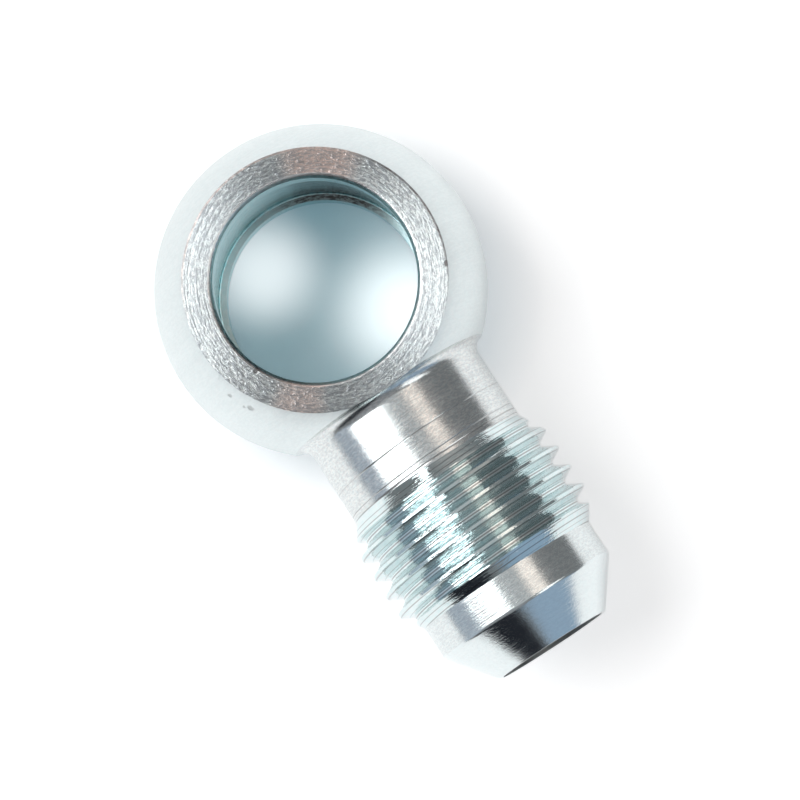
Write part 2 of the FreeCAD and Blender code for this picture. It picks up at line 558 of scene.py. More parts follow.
def thread_tree():
    """Geometry Nodes for a thread: a grid wound round the stem along a helix, with its V profile.

    Each row of the grid keeps its place in the profile all the way round, so crests and roots stay
    sharp. Rows that run past an end fold on to the end's ring, and merging them closes the skin.
    """
    tree = bpy.data.node_groups.new("wound_thread", "GeometryNodeTree")
    for name, kind in THREAD_INPUTS.items():
        tree.interface.new_socket(name, in_out="INPUT", socket_type=kind)
    tree.interface.new_socket("Geometry", in_out="OUTPUT", socket_type="NodeSocketGeometry")
    t = Tree(tree)
    inputs = t.nodes.new("NodeGroupInput").outputs
    flank_rows = inputs["Flank Rows"]
    rows_per_turn = t.plus(t.times(flank_rows, 2.0), 2.0)
    rows = t.times(rows_per_turn, inputs["Turns"])
    grid = t.add(
        "GeometryNodeMeshGrid", {0: 1.0, 1: 1.0, 2: t.plus(inputs["Around"], 1.0), 3: t.plus(rows, 1.0)}
    )
    place = t.add("ShaderNodeSeparateXYZ", [t.add("GeometryNodeInputPosition")]).node.outputs
    round_share = t.plus(place["X"], 0.5)
    row = t.math("ROUND", t.times(t.plus(place["Y"], 0.5), rows))
    turn = t.math("FLOOR", t.over(row, rows_per_turn))
    step = t.minus(row, t.times(turn, rows_per_turn))

    on_crest = t.clamp(step, 0.0, 1.0)
    falling = t.over(t.clamp(t.minus(step, 1.0), 0.0, flank_rows), flank_rows)
    on_root = t.clamp(t.minus(t.minus(step, 1.0), flank_rows), 0.0, 1.0)
    climbed = t.minus(t.minus(step, 2.0), flank_rows)
    rising = t.over(t.clamp(climbed, 0.0, flank_rows), flank_rows)

    crest, root = inputs["Crest Share"], inputs["Root Share"]
    flank = t.times(t.minus(t.minus(1.0, crest), root), 0.5)
    share = t.plus(t.times(on_crest, crest), t.times(on_root, root))
    share = t.plus(share, t.times(t.plus(falling, rising), flank))
    wound = t.plus(t.plus(turn, share), round_share)
    along = t.plus(inputs["First Crest"], t.times(wound, inputs["Pitch"]))
    along = t.clamp(along, inputs["Start"], inputs["End"])

    depth = t.minus(inputs["Major Radius"], inputs["Root Radius"])
    profile = t.minus(inputs["Major Radius"], t.times(depth, t.minus(falling, rising)))
    from_back = t.times(t.minus(along, inputs["Start"]), inputs["Back Slope"])
    from_front = t.times(t.minus(inputs["End"], along), inputs["Lead Slope"])
    envelope = t.math(
        "MINIMUM", t.plus(inputs["Back Radius"], from_back), t.plus(inputs["Front Radius"], from_front)
    )
    radius = t.math("MINIMUM", profile, envelope)
    turned = t.times(round_share, math.tau)
    position = t.add("ShaderNodeCombineXYZ", [
        along,
        t.times(radius, t.math("COSINE", turned)),
        t.times(radius, t.math("SINE", turned)),
    ])
    wound_grid = t.add("GeometryNodeSetPosition", {"Geometry": grid, "Position": position})
    closed = t.add("GeometryNodeMergeByDistance", {"Geometry": wound_grid, "Distance": THREAD_JOINT})
    smooth = t.add("GeometryNodeSetShadeSmooth", {"Geometry": closed, "Shade Smooth": True})
    realized = t.add("GeometryNodeRealizeInstances", {"Geometry": smooth})
    finished = t.add(
        "GeometryNodeSetMaterial", {"Geometry": realized, "Material": inputs["Material"]}
    )
    t.fill(t.nodes.new("NodeGroupOutput").inputs[0], finished)
    return tree


def evaluated_mesh(made, name):
    """The object's mesh with its modifiers worked in, as a new plain mesh."""
    graph = bpy.context.evaluated_depsgraph_get()
    graph.update()
    data = bpy.data.meshes.new_from_object(made.evaluated_get(graph))
    data.name = name
    return data


def thread_mesh(stem, thread, detail, material):
    """The thread as a plain mesh: a tube from the neck's radius to the nose's."""
    root_radius = thread.major_radius - thread.depth * thread.pitch
    flank_share = thread.depth * math.tan(thread.flank_angle)
    root_share = 1 - thread.crest_flat - 2 * flank_share
    crest_start = thread.crest_place - thread.crest_flat * thread.pitch / 2
    turns_back = math.ceil((crest_start - thread.start) / thread.pitch) + 1
    turns = math.ceil((thread.end - thread.start) / thread.pitch) + 3
    tree = thread_tree()
    host = bpy.data.objects.new("thread_host", bpy.data.meshes.new("thread_host"))
    bpy.context.scene.collection.objects.link(host)
    modifier = host.modifiers.new("wound_thread", "NODES")
    modifier.node_group = tree
    values = {
        "Start": thread.start,
        "End": thread.end,
        "Major Radius": thread.major_radius,
        "Root Radius": root_radius,
        "Back Radius": stem.neck_radius,
        "Front Radius": stem.nose_radius,
        "Back Slope": math.tan(thread.back_chamfer),
        "Lead Slope": math.tan(thread.lead_chamfer),
        "Pitch": thread.pitch,
        "Crest Share": thread.crest_flat,
        "Root Share": root_share,
        "First Crest": crest_start - turns_back * thread.pitch,
        "Turns": turns,
        "Around": detail.around,
        "Flank Rows": detail.flank_rows,
        "Material": material,
    }
    for item in tree.interface.items_tree:
        if item.in_out == "INPUT":
            modifier[item.identifier] = values[item.name]
    data = evaluated_mesh(host, "thread")
    host.modifiers.remove(modifier)
    bpy.data.objects.remove(host)
    return data


def skin_mesh(eye, stem, thread, detail, materials):
    """The whole outside as one closed mesh: turned skin and thread, not yet cut."""
    back = back_spans(eye, stem, thread, detail)
    front = front_spans(stem, thread)
    parts = {"ball": back[:1], "neck": back[1:], "nose": front[:1], "seat": front[1:]}
    built = bmesh.new()
    for name, spans in parts.items():
        done = len(built.faces)
        revolve(built, span_points(spans), detail.around, "X")
        mark_faces(built, done, FINISHES.index(name))
    done = len(built.faces)
    built.from_mesh(thread_mesh(stem, thread, detail, materials["thread"]))
    mark_faces(built, done, FINISHES.index("thread"))
    bmesh.ops.remove_doubles(built, verts=built.verts, dist=THREAD_JOINT)
    bmesh.ops.dissolve_degenerate(built, edges=built.edges, dist=SAME_PLACE)
    open_edges = [edge for edge in built.edges if not edge.is_manifold]
    if open_edges:
        raise RuntimeError(f"the skin is open at {len(open_edges)} edges")
    return built


def mark_faces(built, done, finish):
    """Gives the faces that were added last their finish."""
    built.faces.ensure_lookup_table()
    for face in built.faces[done:]:
        face.material_index = finish


def cut(body, tool):
    """Takes a cutter away from the body, and then deletes the cutter."""
    modifier = body.modifiers.new("cut", "BOOLEAN")
    modifier.operation = "DIFFERENCE"
    modifier.solver = "EXACT"
    modifier.material_mode = "TRANSFER"
    modifier.object = tool
    data = evaluated_mesh(body, body.name)
    body.modifiers.remove(modifier)
    body.data = data
    bpy.data.objects.remove(tool)


def outline_normals(spans, centres, places):
    """Normals, as along and outward shares, of the outline at places near each face's centre."""
    first = np.array([a for points, _ in spans for a in points[:-1]])
    last = np.array([b for points, _ in spans for b in points[1:]])
    first_normal = np.array([a for _, normals in spans for a in normals[:-1]])
    last_normal = np.array([b for _, normals in spans for b in normals[1:]])
    run = last - first
    squared = (run**2).sum(1)
    to_centre = centres[:, None] - first
    share = np.clip((to_centre * run).sum(2) / squared, 0, 1)
    nearest = np.linalg.norm(to_centre - share[..., None] * run, axis=2).argmin(1)
    share = np.clip(((places - first[nearest]) * run[nearest]).sum(1) / squared[nearest], 0, 1)
    blend = (1 - share[:, None]) * first_normal[nearest] + share[:, None] * last_normal[nearest]
    return blend / np.linalg.norm(blend, axis=1, keepdims=True)


def profile_places(points, axis):
    """Places along an axis and distances from it, with the unit vectors that point outward."""
    axis_index = "XYZ".index(axis)
    outward = points.copy()
    outward[:, axis_index] = 0
    radius = np.linalg.norm(outward, axis=1)
    outward /= np.maximum(radius, 1e-12)[:, None]
    return np.stack([points[:, axis_index], radius], 1), outward


def set_true_normals(data, surfaces):
    """Gives each corner the normal of the true surface, so that cut edges leave no shading marks.

    surfaces says, for each material's name, the outline and axis that its faces were turned from.
    Faces of other materials, such as the thread's, keep the normals that the mesh gives them.
    """
    data.shade_smooth()
    data.set_sharp_from_angle(angle=SHARP_EDGE)
    loops = len(data.loops)
    normals = np.empty(loops * 3, np.float32)
    data.corner_normals.foreach_get("vector", normals)
    normals = normals.reshape(-1, 3).astype(float)
    points = np.empty(len(data.vertices) * 3)
    data.vertices.foreach_get("co", points)
    corner_vertex = np.empty(loops, int)
    data.loops.foreach_get("vertex_index", corner_vertex)
    corners = points.reshape(-1, 3)[corner_vertex]
    centres = np.empty(len(data.polygons) * 3)
    data.polygons.foreach_get("center", centres)
    sides = np.empty(len(data.polygons), int)
    data.polygons.foreach_get("loop_total", sides)
    kinds = np.empty(len(data.polygons), int)
    data.polygons.foreach_get("material_index", kinds)
    face_of_corner = np.repeat(np.arange(len(sides)), sides)
    centres = centres.reshape(-1, 3)
    for index, material in enumerate(data.materials):
        if material.name not in surfaces:
            continue
        spans, axis = surfaces[material.name]
        chosen = np.flatnonzero(kinds[face_of_corner] == index)
        for part in np.array_split(chosen, max(1, len(chosen) // NORMALS_AT_A_TIME)):
            middle, _ = profile_places(centres[face_of_corner[part]], axis)
            place, outward = profile_places(corners[part], axis)
            found = outline_normals(spans, middle, place)
            along = np.zeros((len(part), 3))
            along[:, "XYZ".index(axis)] = 1
            normals[part] = found[:, :1] * along + found[:, 1:] * outward
    data.normals_split_custom_set(normals.tolist())


def flow_bore_spans(stem):
    """Section of the passage, from the middle of the bolt bore to past the nose."""
    past = NODE_HIGH.x + stem.flow_radius
    corners = [(0, 0), (0, stem.flow_radius), (past, stem.flow_radius), (past, 0)]
    return [line_span(b, a) for a, b in zip(corners, corners[1:])]


def turned_over(spans):
    """The same outline on the other side of the middle."""
    return [
        ([(-a, r) for a, r in points], [(-a, r) for a, r in normals]) for points, normals in spans
    ]


def fitting_body(eye, stem, thread, detail, materials):
    """The finished piece: skin, thread, seal faces and bores as one closed mesh."""
    body = mesh_object(
        PIECE, skin_mesh(eye, stem, thread, detail, materials), materials[FINISHES[0]]
    )
    for name in FINISHES[1:]:
        body.data.materials.append(materials[name])
    steps = detail.around
    faced, edge, bored, ledge, drilled = (materials[name] for name in FINISHES[-5:])
    bore_spans = bolt_bore_spans(eye)
    last = len(bore_spans) - 1
    mouths = (1, 2, last - 2, last - 1)
    ledges = (4, last - 4)
    kinds = {**dict.fromkeys(mouths, 1), **dict.fromkeys(ledges, 2)}
    cut(body, cutter("seal_cut", seal_cut_spans(eye), steps, "Z", [faced], mirrored=True))
    cut(body, cutter("bolt_bore_cut", bore_spans, steps, "Z", [bored, edge, ledge], kinds))
    cut(body, cutter("flow_bore_cut", flow_bore_spans(stem), steps // 2, "X", [drilled]))
    skin_spans = back_spans(eye, stem, thread, detail) + front_spans(stem, thread)
    seal_spans = seal_cut_spans(eye)
    surfaces = {materials[name].name: (skin_spans, "X") for name in ("ball", "neck", "nose", "seat")}
    surfaces[faced.name] = (seal_spans + turned_over(seal_spans), "Z")
    surfaces[ledge.name] = ([bore_spans[i] for i in ledges], "Z")
    surfaces[edge.name] = ([bore_spans[i] for i in mouths[1:3]], "Z")
    surfaces[bored.name] = (bore_spans, "Z")
    surfaces[drilled.name] = (flow_bore_spans(stem), "X")
    set_true_normals(body.data, surfaces)
    return body


def new_group(name, inputs, outputs):
    """An empty shader node group with named inputs (with defaults) and outputs."""
    group = bpy.data.node_groups.new(name, "ShaderNodeTree")
    for key, default in inputs.items():
        kind = "NodeSocketFloat"
        if isinstance(default, tuple):
            kind = "NodeSocketColor" if len(default) == 4 else "NodeSocketVector"
        socket = group.interface.new_socket(key, in_out="INPUT", socket_type=kind)
        socket.default_value = default
    for key, kind in outputs.items():
        group.interface.new_socket(key, in_out="OUTPUT", socket_type=kind)
    tree = Tree(group)
    return tree, group.nodes.new("NodeGroupInput").outputs, group.nodes.new("NodeGroupOutput").inputs


def turning_lines_group():
    """Lines that a turning tool leaves: fine ones, broad bands, and short streaks between them."""
    t, given, out = new_group(
        "turning_lines",
        {"Along": 0.0, "Around": (0.0, 0.0, 0.0), "Spacing": 0.1 * MM, "Wander": 0.6},
        {"Fine": "NodeSocketFloat", "Broad": "NodeSocketFloat", "Streaks": "NodeSocketFloat"},
    )
    for name, coarser, shorter, detail in (
        ("Fine", 1.0, 1.0, 2.0), ("Broad", 7.0, 1.0, 3.0), ("Streaks", 1.0, 32.0, 2.0),
    ):
        feed = t.over(given["Along"], t.times(given["Spacing"], coarser))
        wander = t.times(given["Wander"], shorter)
        around = t.add("ShaderNodeVectorMath", {0: given["Around"], 3: wander}, operation="SCALE")
        lines = t.add(
            "ShaderNodeTexNoise",
            {"Vector": around, "W": feed, "Scale": 1.0, "Detail": detail, "Roughness": 0.6},
            noise_dimensions="4D",
        )
        t.fill(out[name], lines)
    return t.tree


def peel_group():
    """Uneven skin of the plate: soft dents with a fine grain on them."""
    t, given, out = new_group(
        "plate_peel", {"Vector": (0.0, 0.0, 0.0), "Size": 0.07 * MM}, {"Height": "NodeSocketFloat"}
    )
    peel = t.add(
        "ShaderNodeTexNoise",
        {"Vector": given["Vector"], "Scale": t.over(1.0, given["Size"]), "Detail": 1.5, "Roughness": 0.5},
    )
    t.fill(out["Height"], peel)
    return t.tree


def tint_group():
    """Colours of the passivated plate, which drift from zinc to copper pink and blue-green."""
    t, given, out = new_group(
        "plate_tint",
        {
            "Vector": (0.0, 0.0, 0.0), "Size": 0.3 * MM, "Zinc": (0.8, 0.8, 0.8, 1.0),
            "Blush": (0.8, 0.6, 0.5, 1.0), "Teal": (0.5, 0.7, 0.7, 1.0),
            "Blush Share": 0.3, "Teal Share": 0.3,
        },
        {"Color": "NodeSocketColor"},
    )
    scale = t.over(1.0, given["Size"])
    masks = []
    for shift, share in ((0.0, given["Teal Share"]), (5.0, given["Blush Share"])):
        moved = t.add("ShaderNodeVectorMath", [given["Vector"], (shift, shift, shift)], operation="ADD")
        cloud = t.add(
            "ShaderNodeTexNoise", {"Vector": moved, "Scale": scale, "Detail": 5.0, "Roughness": 0.65}
        )
        spread = t.ramp(cloud, 0.35, 0.65, 0.4, 1.6)
        masks.append(t.clamp(t.times(spread, share), 0.0, 1.0))
    tinted = t.mix_color(masks[0], given["Zinc"], given["Teal"])
    t.fill(out["Color"], t.mix_color(masks[1], tinted, given["Blush"]))
    return t.tree


def spot_group():
    """Mask of one ragged spot round a place."""
    t, given, out = new_group(
        "spot", {"Vector": (0.0, 0.0, 0.0), "Place": (0.0, 0.0, 0.0), "Radius": 0.2 * MM},
        {"Mask": "NodeSocketFloat"},
    )
    rough = t.add("ShaderNodeTexNoise", {"Vector": given["Vector"], "Scale": 5.0 / MM, "Detail": 1.0})
    ragged = t.times(t.measure("DISTANCE", given["Vector"], given["Place"]), t.plus(rough, 0.5))
    full = t.times(given["Radius"], 0.6)
    t.fill(out["Mask"], t.ramp(ragged, full, given["Radius"], 1.0, 0.0))
    return t.tree


def helical_line_group():
    """Mask of a fine line that a tool leaves along a helix, once or again at every pitch."""
    t, given, out = new_group(
        "helical_line",
        {
            "Along": 0.0, "Turn": 0.0, "Place": 0.0, "Pitch": 1.0 * MM, "Width": 0.1 * MM,
            "Begins": 0.0, "Repeats": 0.0,
        },
        {"Mask": "NodeSocketFloat"},
    )
    wound = t.minus(t.over(t.minus(given["Along"], given["Place"]), given["Pitch"]), given["Turn"])
    nearest = t.minus(wound, t.times(t.math("ROUND", wound), given["Repeats"]))
    reach = t.times(t.math("ABSOLUTE", nearest), given["Pitch"])
    line = t.ramp(reach, 0.0, t.over(given["Width"], 2.0), 1.0, 0.0)
    t.fill(out["Mask"], t.times(line, t.math("GREATER_THAN", given["Along"], given["Begins"])))
    return t.tree


class Finish(NamedTuple):
    """How one surface was made: what it was turned about, and how rough and how tinted it is.

    The spacing and depth of the lines, the depth of the peel and the size of the mottle are in
    millimetres. The other values are shares from 0 to 1.
    """

    axis: str
    spacing: float
    lines: float
    peel: float
    roughness: float
    blush: float
    teal: float
    streaks: float = 0.0
    grain: float = 0.0
    mottle: float = 0.3
    # Share of dark grey mixed in all over: a darker plate, and painted shade deep in the flow bore
    dull_and_shade: float = 0.0


FINISH_VALUES = {
    "ball": Finish("X", 0.12, 0.008, 0.005, 0.35, 0.03, 0.08, streaks=0.08, dull_and_shade=0.05),
    "neck": Finish("X", 0.10, 0.005, 0.004, 0.21, 0.22, 0.16, streaks=0.36, grain=0.3, mottle=0.14),
    "nose": Finish("X", 0.10, 0.005, 0.004, 0.18, 0.12, 0.12, streaks=0.26, grain=0.3, mottle=0.14),
    "seat": Finish("X", 0.08, 0.006, 0.006, 0.12, 0.03, 0.06, streaks=0.08),
    "thread": Finish("X", 0.14, 0.014, 0.0002, 0.09, 0.04, 0.24, streaks=0.06, grain=0.1),
    "faced": Finish("Z", 0.12, 0.060, 0.012, 0.38, 0.10, 0.12, streaks=0.80, grain=1.0),
    "edge": Finish("Z", 0.07, 0.030, 0.014, 0.28, 0.20, 0.05, streaks=0.30, grain=0.4),
    "bored": Finish("Z", 0.12, 0.010, 0.004, 0.20, 0.0, 0.90, grain=0.5),
    "ledge": Finish("Z", 0.12, 0.020, 0.004, 0.45, 0.0, 0.30, streaks=0.06, grain=1.0),
    # The flow bore's even darkening is painted shade deep inside it
    "drilled": Finish("X", 0.30, 0.020, 0.012, 0.45, 0.10, 0.30, dull_and_shade=0.7),
}

# Marks in millimetres: place, radius and darkness. They are dark pits on the ball and a nick.
MARKS = {
    "ball": (
        ((3.07, -8.28, 5.68), 0.20, 0.40),
        ((4.42, -7.63, 5.70), 0.26, 0.45),
        ((4.10, -7.90, 5.50), 0.15, 0.35),
        ((-3.11, 9.86, 1.80), 0.14, 0.60),
    ),
    "faced": (
        ((3.60, 7.36, 6.50), 0.22, 0.9),
        ((2.78, -6.12, 6.50), 0.20, 0.7),
    ),
    "edge": (((2.74, -6.00, 6.40), 0.22, 0.5),),
}

# Marks that run along a ring, most of them painted light and shade: angle round the picture and half
# width in degrees, colour and strength. The last number is the least distance from the bolt bore's axis, in
# millimetres.
ARCS = {
    "faced": (
        # Painted reflections of a pinkish lamp, at the top and the bottom of the picture
        (88.0, 22.0, "copper", 0.85, 0.0),
        (-97.0, 15.0, "copper", 0.55, 0.0),
        # Painted shade and a painted highlight on the seal face's worn edge
        (37.0, 44.0, "pit", 0.80, 8.13),
        (135.0, 70.0, "copper", 0.55, 8.13),
    ),
    "edge": (
        # A copper pink tint on the chamfer at the bottom of the picture
        (-95.0, 18.0, "copper", 1.00, 0.0),
        # Painted shade where the chamfer mirrors the dark room
        (228.0, 50.0, "pit", 0.75, 0.0),
        (75.0, 28.0, "pit", 0.60, 0.0),
    ),
    # Painted shade in the oil groove at the top of the picture
    "bored": ((86.0, 26.0, "pit", 0.60, 6.37),),
    "ledge": ((86.0, 40.0, "pit", 0.85, 0.0),),
}

# Helical lines in millimetres: place on the +Y side, pitch, width, where they begin, 1 if they
# repeat, darkness and depth. The neck has one mark of the turning tool, and then the thread tool's
# run-out. Those on the thread lie in its root and beside its crests, and their darkness is painted
# shade over shallow dents.
TOOL_LINES = {
    "neck": (
        (10.99, 1.20, 0.09, 0.0, 0.0, 0.4, 0.02),
        (19.93, THREAD_PITCH_MM, 0.14, 12.35, 1.0, 0.6, 0.02),
        (19.56, THREAD_PITCH_MM, 0.07, 12.55, 1.0, 0.6, 0.02),
        (20.25, THREAD_PITCH_MM, 0.07, 12.75, 1.0, 0.6, 0.02),
    ),
    "thread": (
        # Painted shade in the root and beside the crests, over shallow dents
        (19.93, THREAD_PITCH_MM, 0.14, 0.0, 1.0, 0.8, 0.004),
        (19.38, THREAD_PITCH_MM, 0.10, 0.0, 1.0, 0.7, 0.004),
        (19.05, THREAD_PITCH_MM, 0.08, 0.0, 1.0, 0.6, 0.003),
        (19.66, THREAD_PITCH_MM, 0.06, 0.0, 1.0, 0.5, 0.002),
    ),
}


# Dents of the pits and nicks, in millimetres
PIT_DEPTH = 0.02
# How much of an arc's colour, mostly painted light and shade, shows on clean plate, and how much less of it
# in a streak
ARC_ON_PLATE = 1.3
ARC_LOST_IN_STREAKS = 0.8
# Shares of short streaks, fine lines and peel in the grey scoring, and where it starts and is full
SCORING_SHARES = (0.5, 0.2, 0.3)
SCORING_LIMITS = (0.455, 0.54)
# How much the roughness changes from band to band
ROUGHNESS_SPREAD = 0.25
# Flat faces, whose lines lie round the bolt bore, and all faces whose lines follow each other outward
FLAT_FACES = ("faced", "ledge")
LINES_OUTWARD = (*FLAT_FACES, "seat")


def with_tints_and_painted_light(t, color, name, colours, slope, around, radius, streaks):
    """The colour with the marks that run along a ring: painted reflections, highlights and shade, and a
    copper pink tint.
    """
    for across, half_width, tone, strength, least in ARCS.get(name, ()):
        middle = picture_direction(slope, math.radians(across), 0)
        edge = math.cos(math.radians(half_width))
        patch = t.ramp(t.measure("DOT_PRODUCT", around, middle), edge, 1.0, kind="SMOOTHSTEP")
        share = t.times(patch, t.math("GREATER_THAN", radius, least * MM))
        hold = t.minus(ARC_ON_PLATE, t.times(streaks, ARC_LOST_IN_STREAKS))
        share = t.times(t.times(share, strength), hold)
        color = t.mix_color(t.clamp(share, 0.0, 1.0), color, (*getattr(colours, tone), 1))
    return color


def with_spots(t, color, height, name, colours, group, vector):
    """The colour and the height with the pits and nicks."""
    for place, radius, darkness in MARKS.get(name, ()):
        at = tuple(value * MM for value in place)
        mask = t.group(group, {"Vector": vector, "Place": at, "Radius": radius * MM})["Mask"]
        color = t.mix_color(t.times(mask, darkness), color, (*colours.pit, 1))
        height = t.minus(height, t.times(mask, PIT_DEPTH * MM))
    return color, height


def with_tool_lines(t, color, height, name, colours, group, axes):
    """The colour and the height with the helical lines round the stem. On the thread their darkness is
    painted shade.
    """
    for place, pitch, width, begins, repeats, darkness, depth in TOOL_LINES.get(name, ()):
        turn = t.over(t.math("ARCTAN2", axes["Z"], axes["Y"]), math.tau)
        mask = t.group(group, {
            "Along": axes["X"], "Turn": turn, "Place": place * MM, "Pitch": pitch * MM,
            "Width": width * MM, "Begins": begins * MM, "Repeats": repeats,
        })["Mask"]
        color = t.mix_color(t.times(mask, darkness), color, (*colours.pit, 1))
        height = t.minus(height, t.times(mask, depth * MM))
    return color, height


def zinc_material(name, finish, colours, groups, slope):
    """Zinc plate over one turned, faced or bored surface."""
    material = bpy.data.materials.new(name + "_zinc")
    material.use_nodes = True
    t = Tree(material.node_tree)
    shader = t.nodes["Principled BSDF"]
    vector = t.add("ShaderNodeTexCoord", output="Object")
    axes = t.add("ShaderNodeSeparateXYZ", [vector]).node.outputs
    cross = [axis for axis in "XYZ" if axis != finish.axis]
    flat = t.add("ShaderNodeCombineXYZ", {axis: axes[axis] for axis in cross})
    radius = t.measure("LENGTH", flat)
    around = t.add("ShaderNodeVectorMath", [flat], operation="NORMALIZE")
    along = radius if name in LINES_OUTWARD else axes[finish.axis]
    lines = t.group(groups["lines"], {"Along": along, "Around": around, "Spacing": finish.spacing * MM})
    peel = t.group(groups["peel"], {"Vector": vector})["Height"]
    color = t.group(groups["tint"], {
        "Vector": vector, "Size": finish.mottle * MM, "Zinc": (*colours.zinc, 1),
        "Blush": (*colours.blush, 1), "Teal": (*colours.teal, 1),
        "Blush Share": finish.blush, "Teal Share": finish.teal,
    })["Color"]
    streak_share, line_share, peel_share = SCORING_SHARES
    scored = t.plus(t.times(lines["Streaks"], streak_share), t.times(lines["Fine"], line_share))
    scored = t.plus(scored, t.times(peel, peel_share))
    streaks = t.ramp(scored, *SCORING_LIMITS)
    color = t.mix_color(t.times(streaks, finish.streaks), color, (*colours.shade, 1))
    # Even darkening: a darker plate on the ball, and painted shade in the flow bore
    color = t.mix_color(finish.dull_and_shade, color, (*colours.pit, 1))
    # Painted reflections, highlights and shade along rings, and a copper pink tint
    color = with_tints_and_painted_light(t, color, name, colours, slope, around, radius, streaks)
    cut_lines = t.plus(t.plus(lines["Fine"], lines["Broad"]), lines["Streaks"])
    height = t.plus(t.times(cut_lines, finish.lines * MM), t.times(peel, finish.peel * MM))
    color, height = with_spots(t, color, height, name, colours, groups["spot"], vector)
    # Helical tool lines; on the thread their darkness is painted shade
    color, height = with_tool_lines(t, color, height, name, colours, groups["helical"], axes)
    t.fill(shader.inputs["Base Color"], color)
    shader.inputs["Metallic"].default_value = 1
    shader.inputs["Anisotropic"].default_value = finish.grain
    spread = t.times(t.minus(lines["Broad"], 0.5), ROUGHNESS_SPREAD)
    t.fill(shader.inputs["Roughness"], t.plus(spread, finish.roughness))
    across_lines = around
    if name not in FLAT_FACES:
        across_lines = t.add("ShaderNodeCombineXYZ", {finish.axis: 1.0})
    t.fill(shader.inputs["Tangent"], across_lines)
    bump = t.add("ShaderNodeBump", {"Strength": 1.0, "Distance": 1.0, "Height": height})
    t.fill(shader.inputs["Normal"], bump)
    return material


def finishes(colours, slope):
    """Every finish of the piece, by its name. The slope turns the picture's angles to the model's."""
    groups = {
        "lines": turning_lines_group(),
        "peel": peel_group(),
        "tint": tint_group(),
        "spot": spot_group(),
        "helical": helical_line_group(),
    }
    return {
        name: zinc_material(name, FINISH_VALUES[name], colours, groups, slope) for name in FINISHES
    }


def floor_plane(eye, thread, stem):
    """A point under the fitting and the direction along the stem of the floor that it lies on.

    The thread is fatter than the eye, so the fitting rests on the far edge of its lower seal face
    and on the first full crest of the thread, with its nose a little up.
    """
    edge = -math.sqrt(eye.ball_radius**2 - eye.half_thickness**2)
    full = thread.start + (thread.major_radius - stem.neck_radius) / math.tan(thread.back_chamfer)
    crest_below = thread.crest_place - thread.pitch * LOWEST_TURN
    steps_back = math.floor((crest_below - full) / thread.pitch)
    crest = crest_below - steps_back * thread.pitch - thread.crest_flat * thread.pitch / 2
    contact = Vector((edge, 0, -eye.half_thickness))
    along = Vector((crest, 0, -thread.major_radius)) - contact
    return contact, along.normalized()


# Painted pools of light on the paper inside the bolt bore, standing in for light that its wall
# throws there: angle round the picture, and distance from the bore's middle and radius in millimetres
PAINTED_BORE_POOLS = ((-6.0, 4.9, 6.6), (153.0, 4.4, 5.4))


def build_floor(stage, contact, along):
    """Paper floor that touches the fitting, with the light that it adds for the camera and in metal, and
    painted shade and painted pools of light under the bolt bore.
    """
    half = stage.floor_size / 2
    built = bmesh.new()
    side = Vector((0, 1, 0))
    corners = [contact + along * a * half + side * b * half for a, b in ((-1, -1), (1, -1), (1, 1), (-1, 1))]
    built.faces.new([built.verts.new(c) for c in corners])
    material = bpy.data.materials.new("paper")
    material.use_nodes = True
    t = Tree(material.node_tree)
    shader = t.nodes["Principled BSDF"]
    shader.inputs["Base Color"].default_value = (*stage.floor_colour, 1)
    shader.inputs["Roughness"].default_value = 1
    shader.inputs["Specular IOR Level"].default_value = 0
    path = t.add("ShaderNodeLightPath").node.outputs
    mirrored = t.times(path["Is Glossy Ray"], stage.floor_gloss)
    seen = t.math("MAXIMUM", path["Is Camera Ray"], mirrored)
    place = t.add("ShaderNodeSeparateXYZ", [t.add("ShaderNodeTexCoord", output="Object")]).node.outputs
    flat = t.add("ShaderNodeCombineXYZ", [place["X"], place["Y"]])
    # Under the bolt bore the even glow gives way to a dim painted glow, which paints shade there, and
    # painted pools of light
    opened = t.ramp(t.measure("LENGTH", flat), stage.shade_radius, 2 * stage.shade_radius)
    glow = (*stage.painted_bore_glow, 1)
    for across, away_mm, radius_mm in PAINTED_BORE_POOLS:
        middle = picture_direction(stage.stem_slope, math.radians(across), 0) * away_mm * MM
        reach = t.measure("DISTANCE", flat, middle)
        painted_pool_mask = t.ramp(reach, 0.0, radius_mm * MM, 1.0, 0.0, kind="SMOOTHERSTEP")
        glow = t.mix_color(painted_pool_mask, glow, (*stage.painted_pool_light, 1))
    t.fill(shader.inputs["Emission Color"], t.mix_color(opened, glow, (*stage.floor_glow, 1)))
    t.fill(shader.inputs["Emission Strength"], seen)
    below = t.add("ShaderNodeNewGeometry", output="Backfacing")
    clear = t.add("ShaderNodeBsdfTransparent")
    surface = t.add("ShaderNodeMixShader", [below, shader.outputs[0], clear])
    t.fill(t.nodes["Material Output"].inputs["Surface"], surface)
    data = bpy.data.meshes.new("floor")
    built.to_mesh(data)
    built.free()
    data.materials.append(material)
    floor = bpy.data.objects.new("floor", data)
    bpy.context.scene.collection.objects.link(floor)


def aimed(place, aim):
    """Rotation that points an object's -Z from one place at another."""
    return (Vector(aim) - Vector(place)).to_track_quat("-Z", "Y")


def soft_lamp(name, place, aim, width, height, power):
    """A rectangular softbox at a place, turned towards another."""
    lamp = bpy.data.lights.new(name, "AREA")
    lamp.shape = "RECTANGLE"
    lamp.size = width
    lamp.size_y = height
    lamp.energy = power
    made = bpy.data.objects.new(name, lamp)
    made.location = place
    made.rotation_mode = "QUATERNION"
    made.rotation_quaternion = aimed(place, aim)
    bpy.context.scene.collection.objects.link(made)


